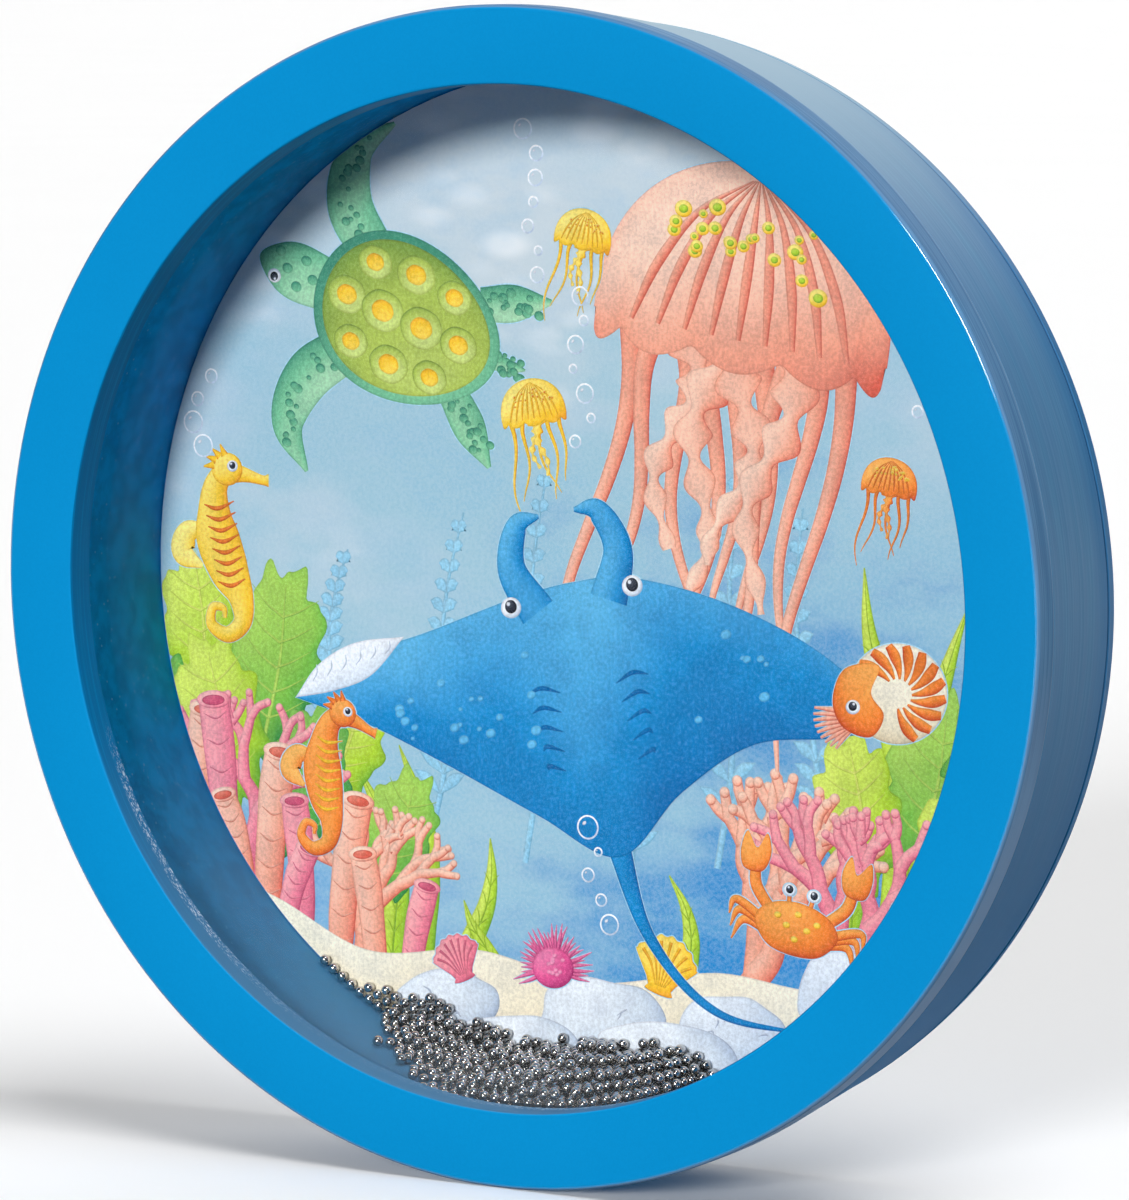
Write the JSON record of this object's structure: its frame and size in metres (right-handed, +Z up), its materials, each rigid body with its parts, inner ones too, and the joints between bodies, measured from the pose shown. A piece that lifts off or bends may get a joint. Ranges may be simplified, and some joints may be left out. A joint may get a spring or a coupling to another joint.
{
  "type": "ocean drum",
  "caption": "Round handheld drum with a blue wooden frame, clear window, sea picture and loose steel balls that roll inside like surf.",
  "frame": {"origin": "centre of the drum's bounding box, on the drum's axis at half its depth", "axes": "+Y along the drum's axis from the window to the back, +Z up as the drum stands on its rim, +X to the right seen from the front"},
  "size_m": [0.21, 0.038, 0.21],
  "materials": {
    "face_paint": "wood with fine satin blue paint",
    "side_paint": "plywood edge under thinner grey-blue paint",
    "clear_acrylic": "clear polished acrylic",
    "printed_paper": "matt printed sheet",
    "ball_steel": "polished steel"
  },
  "bodies": {
    "drum": {"face_ring": "face_paint", "window": "clear_acrylic", "hoop": "side_paint", "picture_sheet": "printed_paper", "back_panel": "side_paint"},
    "balls_1": {"balls_row_01": "ball_steel", "balls_row_02": "ball_steel"},
    "balls_2": {"balls_row_03": "ball_steel", "balls_row_04": "ball_steel"},
    "balls_3": {"balls_row_05": "ball_steel", "balls_row_06": "ball_steel"},
    "balls_4": {"balls_row_07": "ball_steel", "balls_row_08": "ball_steel"},
    "balls_5": {"balls_row_09": "ball_steel", "balls_row_10": "ball_steel"},
    "balls_6": {"balls_row_11": "ball_steel", "balls_row_12": "ball_steel"}
  },
  "joints": [
    {"name": "balls_1_roll", "type": "hinge", "parent": "drum", "child": "balls_1", "pos_m": [0, 0.013, 0], "axis": [0, 1, 0], "continuous": true},
    {"name": "balls_2_roll", "type": "hinge", "parent": "drum", "child": "balls_2", "pos_m": [0, 0.009, 0], "axis": [0, 1, 0], "continuous": true},
    {"name": "balls_3_roll", "type": "hinge", "parent": "drum", "child": "balls_3", "pos_m": [0, 0.004, 0], "axis": [0, 1, 0], "continuous": true},
    {"name": "balls_4_roll", "type": "hinge", "parent": "drum", "child": "balls_4", "pos_m": [0, 0, 0], "axis": [0, 1, 0], "continuous": true},
    {"name": "balls_5_roll", "type": "hinge", "parent": "drum", "child": "balls_5", "pos_m": [0, -0.004, 0], "axis": [0, 1, 0], "continuous": true},
    {"name": "balls_6_roll", "type": "hinge", "parent": "drum", "child": "balls_6", "pos_m": [0, -0.008, 0], "axis": [0, 1, 0], "continuous": true}
  ]
}
